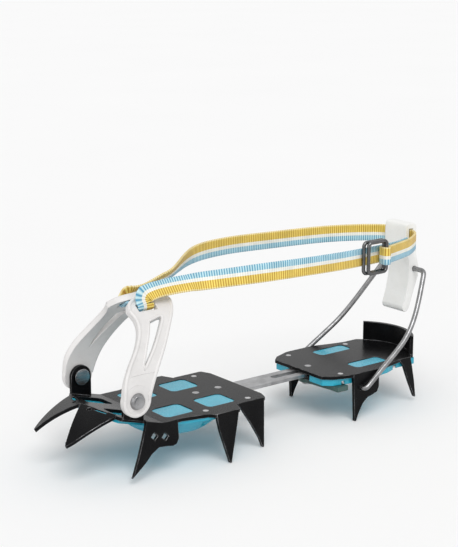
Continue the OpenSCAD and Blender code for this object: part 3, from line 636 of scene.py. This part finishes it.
def arm_surface(x, t, lift, side):
    """The point of an arm's outer face that a view slanted at 45 degrees shows at (x, t)."""
    q = math.sqrt(0.5)
    z_flat = 2 * q * t + ARM_OUT_Y + lift
    if z_flat < ARM_AXIS_Z:
        y, z = ARM_OUT_Y + lift, z_flat
    else:
        by, bz = -q * t - ARM_AXIS_Y, q * t - ARM_AXIS_Z
        mid = q * (by + bz)
        s = mid - math.sqrt(max(mid * mid - (by * by + bz * bz) + (ARM_R + lift) ** 2, 0.0))
        y, z = -q * t - q * s, q * t - q * s
    return Vector((RIVET_X + x, side * y, z))


def flat_curve(points):
    return [(p.x, p.y) for p in curve([(a, b, 0) for a, b in points], 8)]


def inset(points, by, closed=False):
    """An outline moved sideways, to its left where by is more than 0."""
    out = []
    for i, (x, y) in enumerate(points):
        before, after = neighbours(points, i, closed)
        d = Vector((after[0] - before[0], after[1] - before[1])).normalized()
        out.append((x - d.y * by, y + d.x * by))
    return out


EYE_SIDE = ARM_EYE_R - 0.3
arm_front = flat_curve([
    (EYE_SIDE, 14.4), (9.4, 22.6), (4.6, 31.2), (-3.6, 41.2),
    (-9, 49.4), (-11.7, 56.3), (-12.1, 62.6), (-10.4, 68.4)])
arm_head = flat_curve([
    (-10.4, 68.4), (-11.8, 71.5), (-14.5, 75.5), (-21, 79), (-31, 80.5), (-40, 79.8), (-45.8, 77)])
arm_back = flat_curve([
    (-45.8, 77), (-47.4, 71.4), (-44.4, 63.2), (-37.1, 52.7),
    (-27.7, 39.3), (-19, 27.4), (-13, 17.5), (-EYE_SIDE, 12)])
leaf_front = flat_curve([(-7.7, 29.5), (-13.2, 40), (-18.8, 50), (-22.4, 57.6)])
leaf_back = flat_curve([
    (-22.4, 57.6), (-27, 58.8), (-32.4, 59.6), (-27.5, 52.5), (-18, 40.5), (-7.7, 29.5)])
rim_path = inset(arm_front + arm_head[1:] + arm_back[1:], RIM_IN)
slit_path = inset(leaf_front + leaf_back[1:-1], SLIT_RIM_IN, closed=True)
eye_angles = [math.radians(4 * k - 200) for k in range(56)]
ridge_path = [(x, RIDGE_TOP - RIDGE_SAG * (x + 5) ** 2) for x in [7.0 - 0.8 * k for k in range(31)]]

for tag, side in (("left", 1), ("right", -1)):
    rim = [arm_surface(x, t, RIM_LIFT, side) for x, t in rim_path]
    slit = [arm_surface(x, t, RIM_LIFT, side) for x, t in slit_path]
    eye = [Vector((RIVET_X + EYE_RIM * math.cos(w), side * (ARM_OUT_Y + RIM_LIFT),
                   RIVET_Z + EYE_RIM * math.sin(w))) for w in eye_angles]
    ridge = [arm_surface(x, t, RIDGE_LIFT, side) for x, t in ridge_path]
    for what, path, radius, closed in (
        ("rim", rim, RIM_R, False), ("slit_rim", slit, SLIT_RIM_R, True),
        ("eye_rim", eye, RIM_R, False), ("step", ridge, RIDGE_R, False),
    ):
        bead = tube("toe_arm_%s_%s" % (tag, what), path, radius, closed=closed)
        finish_piece(bead, arm_white, tag + "_arm")


# Heel bail: one smooth wire along the same line as the solid
def round_corners(points, radius, n=8):
    """A path with its corners rounded off."""
    p = [Vector(q) for q in points]
    out = [p[0]]
    for a, b, c in zip(p, p[1:], p[2:]):
        r = min(radius, (a - b).length * 0.45, (c - b).length * 0.45)
        s, e = b + (a - b).normalized() * r, b + (c - b).normalized() * r
        for k in range(n + 1):
            f = k / n
            out.append(s * (1 - f) ** 2 + b * 2 * f * (1 - f) + e * f * f)
    return out + [p[-1]]


leg = curve([(-80.5, 42.2, 25), (-102, 40.2, 39.2), (-123, 38, 53),
             (-136, 34.7, 66), (-147, 29.6, 81.5), (-159, 22.5, 100.5)], 2)
bail_half = [(-80.5, 33.5, 25)] + [tuple(p) for p in leg]
bail_path = round_corners(bail_half + flip(bail_half)[::-1], WIRE_BEND)
bail = tube("heel_bail_wire", bail_path, WIRE_R, 20)
finish_piece(bail, wire_steel, "bail")
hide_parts("heel_bail")

# Heel lever: the moulding with its edges rounded
WELD, FLAT_ANGLE = 2e-6, math.radians(0.5)


def rounded_edges(node, name, width, sharp):
    """A new piece with the shape of a CAD node and its edges over sharp degrees rounded."""
    bm = bmesh.new()
    bm.from_mesh(nodes[node].data)
    bmesh.ops.remove_doubles(bm, verts=bm.verts, dist=WELD)
    bmesh.ops.dissolve_limit(bm, angle_limit=FLAT_ANGLE, verts=bm.verts, edges=bm.edges)
    corners = [e for e in bm.edges
               if e.is_manifold and e.calc_face_angle(0.0) > math.radians(sharp)]
    made = bmesh.ops.bevel(bm, geom=corners, offset=width * MM, segments=3, profile=0.5,
                           affect="EDGES", clamp_overlap=True)
    for f in bm.faces:
        f.smooth = False
    for f in made["faces"]:
        f.smooth = True
    me = bpy.data.meshes.new(name)
    bm.to_mesh(me)
    bm.free()
    return linked(name, me)


lever = rounded_edges("heel_lever", "heel_lever_moulding", width=1.2, sharp=40)
finish_piece(lever, lever_white, "lever")
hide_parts("heel_lever")

# Floor just under the points, and a white world behind it
FLOOR_HALF = 60000.0            # millimetres, as all points of a mesh here
FLOOR_Z = -0.0003               # metres, as the place of an object
FLOOR_TONES = (0.94, 0.94, 0.94), (0.96, 0.96, 0.96)
WORLD_LIGHT, WORLD_SEEN = 0.60, 1.0

scene.view_settings.view_transform = "Standard"
floor_mat, tree, shader = material("floor_pale")
put(tree, blend_colour(tree, noise(tree, 3, 2), *FLOOR_TONES), shader.inputs["Base Color"])
shader.inputs["Roughness"].default_value = 0.95
shader.inputs["Specular IOR Level"].default_value = 0.0
corners = [(x * FLOOR_HALF, y * FLOOR_HALF, 0) for x, y in ((-1, -1), (1, -1), (1, 1), (-1, 1))]
floor = mesh_object("floor", corners, [(0, 1, 2, 3)])
floor.location.z = FLOOR_Z
floor.data.materials.append(floor_mat)

world = bpy.data.worlds.new("studio")
scene.world = world
world.use_nodes = True
tree = world.node_tree
tree.nodes.clear()
world_out = tree.nodes.new("ShaderNodeOutputWorld")
background = tree.nodes.new("ShaderNodeBackground")
rays = tree.nodes.new("ShaderNodeLightPath").outputs
seen = calc(tree, "ADD", rays["Is Camera Ray"], rays["Is Glossy Ray"], clamp=True)
seen = calc(tree, "ADD", seen, rays["Is Transmission Ray"], clamp=True)
background.inputs["Color"].default_value = (1, 1, 1, 1)
put(tree, spread(tree, seen, 0, 1, WORLD_LIGHT, WORLD_SEEN), background.inputs["Strength"])
tree.links.new(background.outputs[0], world_out.inputs[0])


def sun(name, toward, strength, soft):
    """A wide lamp, soft degrees across, in the direction toward."""
    data = bpy.data.lights.new(name, "SUN")
    data.energy = strength
    data.angle = math.radians(soft)
    linked(name, data).rotation_euler = Vector(toward).to_track_quat("Z", "Y").to_euler()


sun("key", toward=(0.30, 0.62, 0.90), strength=1.45, soft=35)
sun("side", toward=(1.0, 0.15, 0.45), strength=0.30, soft=50)
